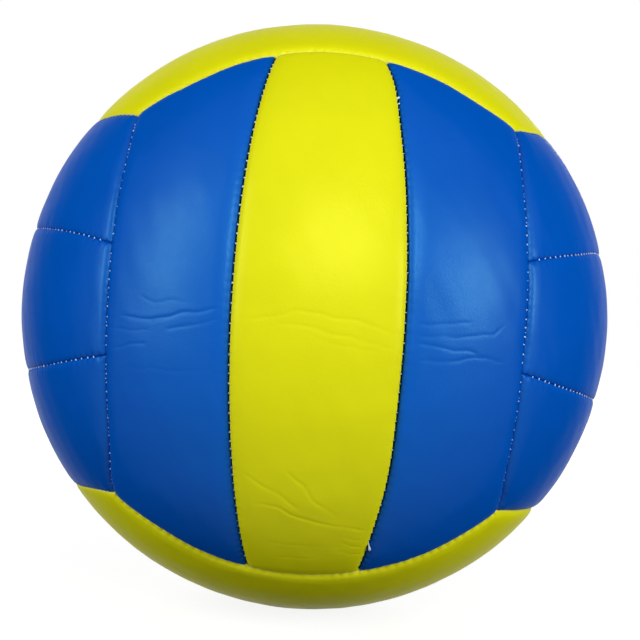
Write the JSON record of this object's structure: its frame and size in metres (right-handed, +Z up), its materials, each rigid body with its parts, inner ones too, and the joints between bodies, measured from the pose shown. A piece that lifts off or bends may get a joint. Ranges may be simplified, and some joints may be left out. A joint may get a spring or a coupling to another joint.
{
  "type": "volleyball",
  "caption": "Sewn indoor volleyball: padded strips in two colours, set crosswise face by face round an air bladder, with a needle valve for blowing it up.",
  "frame": {"origin": "centre of the ball, which is the centre of its bounding box", "axes": "+Z up with the ball resting on its flattened bottom middle strip, -Y towards the viewer of the pictured face, +Y out of the needle valve, +X to that viewer's right"},
  "size_m": [0.2098, 0.2098, 0.2094],
  "materials": {
    "blue_cover": "satin grained synthetic leather, blue",
    "yellow_cover": "satin grained synthetic leather, lemon yellow",
    "bladder_rubber": "smooth butyl rubber, black",
    "valve_rubber": "moulded matt rubber, black"
  },
  "bodies": {
    "root": {"front_left_panel": "blue_cover", "front_middle_panel": "yellow_cover", "front_right_panel": "blue_cover", "back_left_panel": "blue_cover", "back_middle_panel": "yellow_cover", "back_right_panel": "blue_cover", "left_lower_panel": "blue_cover", "left_middle_panel": "blue_cover", "left_upper_panel": "blue_cover", "right_lower_panel": "blue_cover", "right_middle_panel": "blue_cover", "right_upper_panel": "blue_cover", "top_front_panel": "yellow_cover", "top_middle_panel": "yellow_cover", "top_back_panel": "yellow_cover", "bottom_front_panel": "yellow_cover", "bottom_middle_panel": "yellow_cover", "bottom_back_panel": "yellow_cover", "bladder": "bladder_rubber", "valve_housing": "valve_rubber", "valve_plug": "valve_rubber"}
  },
  "joints": []
}
